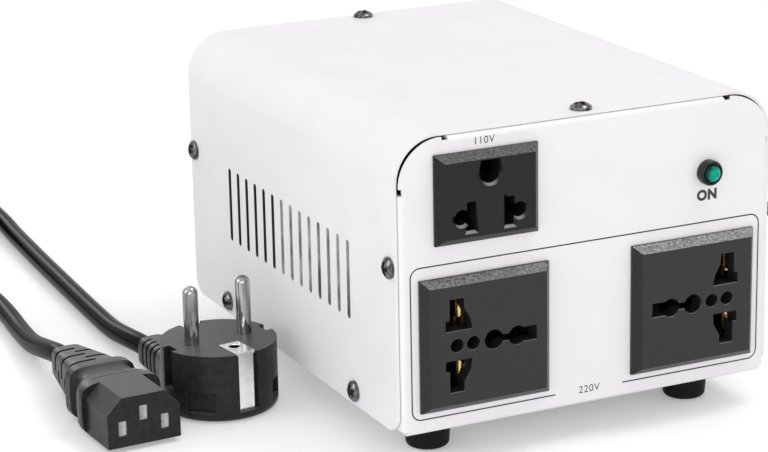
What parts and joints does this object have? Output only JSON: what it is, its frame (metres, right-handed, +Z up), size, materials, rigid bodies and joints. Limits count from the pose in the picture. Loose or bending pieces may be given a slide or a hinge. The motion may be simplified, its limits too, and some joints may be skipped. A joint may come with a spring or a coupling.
{
  "type": "voltage converter",
  "caption": "White folded-steel voltage transformer box on rubber feet, with flat-pin and universal outlets, a green pilot lamp, rear inlet and controls, and a coiled mains lead.",
  "frame": {"origin": "on the surface that the feet stand on, under the middle of the case with its screws, lamp and breaker button; the loose lead is left out", "axes": "+X to the right as the front panel is faced, front panel towards -Y, +Z up"},
  "size_m": [0.2459, 0.3878, 0.1041],
  "materials": {
    "case_white": "white powder coat, satin",
    "screw_chrome": "dark bright plating",
    "foot_rubber": "matt black",
    "zinc_steel": "zinc plated",
    "outlet_plastic": "dark grey, fine texture",
    "back_plastic": "black",
    "contact_brass": "plain brass",
    "bezel_plastic": "green black",
    "lamp_green": "clear emerald",
    "core_steel": "varnished laminations",
    "bobbin_plastic": "moulded nylon",
    "winding_copper": "copper wire under amber tape",
    "rear_plastic": "black",
    "pin_nickel": "nickel plated brass",
    "rocker_red": "red",
    "button_ivory": "ivory",
    "lead_plastic": "black, satin",
    "lead_sheath": "black flexible sheath",
    "tie_fabric": "black woven strap"
  },
  "bodies": {
    "case": {"cover": "case_white", "chassis": "case_white", "cover_screws": "screw_chrome", "rubber_feet": "foot_rubber", "foot_screws": "zinc_steel", "foot_nuts": "zinc_steel", "flat_outlet_body": "outlet_plastic", "flat_outlet_back": "back_plastic", "flat_outlet_contacts": "contact_brass", "left_outlet_body": "outlet_plastic", "left_outlet_back": "back_plastic", "left_outlet_contacts": "contact_brass", "right_outlet_body": "outlet_plastic", "right_outlet_back": "back_plastic", "right_outlet_contacts": "contact_brass", "lamp_bezel": "bezel_plastic", "lamp_lens": "lamp_green", "lamp_ring": "back_plastic", "transformer_core": "core_steel", "transformer_bobbin": "bobbin_plastic", "transformer_winding": "winding_copper", "transformer_brackets": "zinc_steel", "core_bolts": "zinc_steel", "core_nuts": "zinc_steel", "bracket_screws": "screw_chrome", "bracket_nuts": "zinc_steel", "inlet_body": "rear_plastic", "inlet_pins": "pin_nickel", "inlet_screws": "screw_chrome", "inlet_nuts": "zinc_steel", "switch_housing": "rear_plastic", "selector_housing": "rear_plastic", "selector_screws": "screw_chrome", "breaker_body": "rear_plastic", "breaker_nut": "pin_nickel", "earth_stud": "zinc_steel", "earth_nut": "zinc_steel", "connector_body": "lead_plastic", "connector_contacts": "pin_nickel", "plug_body": "lead_plastic", "plug_pins": "pin_nickel", "plug_earth_strips": "pin_nickel", "lead_connector_run": "lead_sheath", "lead_plug_run": "lead_sheath", "lead_coil": "lead_sheath", "coil_tie": "tie_fabric"},
    "rocker": {"switch_rocker": "rocker_red"},
    "selector": {"selector_slider": "rocker_red"},
    "breaker": {"breaker_button": "button_ivory"}
  },
  "joints": [
    {"name": "rocker_hinge", "type": "hinge", "parent": "case", "child": "rocker", "pos_m": [-0.018, 0.0796, 0.037], "axis": [-1, 0, 0], "range_deg": [0, 22]},
    {"name": "selector_slide", "type": "slide", "parent": "case", "child": "selector", "axis": [-1, 0, 0], "range_m": [0, 0.005]},
    {"name": "breaker_slide", "type": "slide", "parent": "case", "child": "breaker", "axis": [0, 1, 0], "range_m": [0, 0.0035]}
  ]
}
